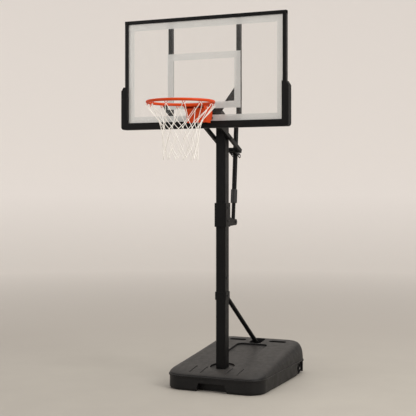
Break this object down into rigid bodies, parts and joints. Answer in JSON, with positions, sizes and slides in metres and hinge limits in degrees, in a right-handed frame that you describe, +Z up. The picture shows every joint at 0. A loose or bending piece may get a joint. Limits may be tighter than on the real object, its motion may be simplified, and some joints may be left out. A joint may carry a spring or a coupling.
{
  "type": "portable basketball hoop",
  "caption": "Free-standing basketball hoop: clear framed backboard, sprung rim with net, square pole with parallel lift arms and adjuster strut, on a wheeled water-filled base.",
  "frame": {"origin": "on the floor under the middle of the pole", "axes": "+Z up, -Y towards the court and the rim, +Y towards the back of the base, +X to the right of someone facing the board's front"},
  "size_m": [1.374, 1.9665, 2.872],
  "materials": {
    "black_steel": "satin",
    "black_zinc": "satin",
    "bare_steel": "satin",
    "rim_orange": "gloss",
    "spring_steel": "satin",
    "tank_plastic": "matte",
    "wheel_plastic": "matte",
    "black_plastic": "satin",
    "water": "gloss",
    "seal_rubber": "matte",
    "grip_rubber": "satin",
    "clear_sheet": "gloss",
    "frosted_print": "matte",
    "pad_foam": "matte",
    "net_cord": "matte"
  },
  "bodies": {
    "stand": {"base_shell": "tank_plastic", "ballast_water": "water", "wheel_axle": "bare_steel", "axle_caps": "black_zinc", "pole_lower": "black_steel", "pole_upper": "black_steel", "pole_cap": "black_plastic", "pole_collar": "black_steel", "collar_bolts": "black_zinc", "pole_bolt": "black_zinc", "brace_collar": "black_steel", "brace_tube": "black_steel", "brace_foot": "black_steel", "brace_bolts": "black_zinc", "pole_pivot_bolts": "black_zinc", "pole_spacers": "black_plastic", "strut_foot_pin": "black_zinc"},
    "fill_cap": {"fill_cap": "black_plastic", "fill_cap_seal": "seal_rubber"},
    "wheel_left": {"wheel_left": "wheel_plastic"},
    "wheel_right": {"wheel_right": "wheel_plastic"},
    "lower_arms": {"lower_arm_left": "black_steel", "lower_arm_right": "black_steel", "arm_crosspiece": "black_steel", "lift_bracket": "black_steel", "arm_end_caps": "black_plastic"},
    "upper_arms": {"upper_arm_left": "black_steel", "upper_arm_right": "black_steel"},
    "board": {"carriage": "black_steel", "carriage_pivot_bolts": "black_zinc", "carriage_washers": "black_plastic", "crossbar_lower": "black_steel", "crossbar_upper": "black_steel", "rear_bar_left": "black_steel", "rear_bar_right": "black_steel", "brace_plate_left": "black_steel", "brace_plate_right": "black_steel", "frame_top": "black_steel", "frame_bottom": "black_steel", "frame_left": "black_steel", "frame_right": "black_steel", "board_sheet": "clear_sheet", "border_print": "frosted_print", "target_print": "frosted_print", "edge_pad": "pad_foam", "pad_screws": "black_zinc", "rim_plate": "rim_orange", "rim_bolts": "black_zinc", "rim_pin": "black_zinc", "rim_springs": "spring_steel"},
    "rim": {"rim_housing": "rim_orange", "rim_ring": "rim_orange", "net": "net_cord"},
    "strut_rod": {"strut_rod": "black_steel"},
    "strut_tube": {"strut_tube": "black_steel", "strut_pin": "black_zinc"},
    "strut_grip": {"strut_grip": "grip_rubber"}
  },
  "joints": [
    {"name": "lift", "type": "hinge", "parent": "stand", "child": "lower_arms", "pos_m": [0, 0, 1.967], "axis": [-1, 0, 0], "range_deg": [-22, 22]},
    {"name": "upper_link", "type": "hinge", "parent": "stand", "child": "upper_arms", "pos_m": [0, 0, 2.077], "axis": [-1, 0, 0], "range_deg": [-22.5, 22.5]},
    {"name": "board_level", "type": "hinge", "parent": "lower_arms", "child": "board", "pos_m": [0, -0.30011, 2.09687], "axis": [-1, 0, 0], "range_deg": [-22.5, 22.5]},
    {"name": "strut_swing", "type": "hinge", "parent": "stand", "child": "strut_rod", "pos_m": [0, 0.225, 1.298], "axis": [-1, 0, 0], "range_deg": [-4.5, 4.5]},
    {"name": "strut_extend", "type": "slide", "parent": "strut_rod", "child": "strut_tube", "axis": [0, 0.0877, 0.9961], "range_m": [-0.118, 0.118]},
    {"name": "grip_lock", "type": "hinge", "parent": "strut_tube", "child": "strut_grip", "pos_m": [0, 0.225, 1.298], "axis": [0, 0.0877, 0.9961], "range_deg": [0, 60]},
    {"name": "rim_breakaway", "type": "hinge", "parent": "board", "child": "rim", "pos_m": [0, -0.394, 2.1], "axis": [1, 0, 0], "range_deg": [0, 18], "stiffness_Nm_per_rad": 220, "springref_deg": -11.46},
    {"name": "wheel_spin_left", "type": "hinge", "parent": "stand", "child": "wheel_left", "pos_m": [0, 0.742, 0.053], "axis": [1, 0, 0], "continuous": true},
    {"name": "wheel_spin_right", "type": "hinge", "parent": "stand", "child": "wheel_right", "pos_m": [0, 0.742, 0.053], "axis": [1, 0, 0], "continuous": true},
    {"name": "cap_lift", "type": "slide", "parent": "stand", "child": "fill_cap", "axis": [0, -0.1115, 0.9938], "range_m": [0, 0.06]}
  ],
  "couplings": [
    {"joint": "upper_link", "follows": "lift", "ratio": 1},
    {"joint": "board_level", "follows": "lift", "ratio": -1},
    {"joint": "strut_swing", "follows": "lift", "ratio": -0.1786},
    {"joint": "strut_extend", "follows": "lift", "m_per_rad": -0.3021}
  ]
}
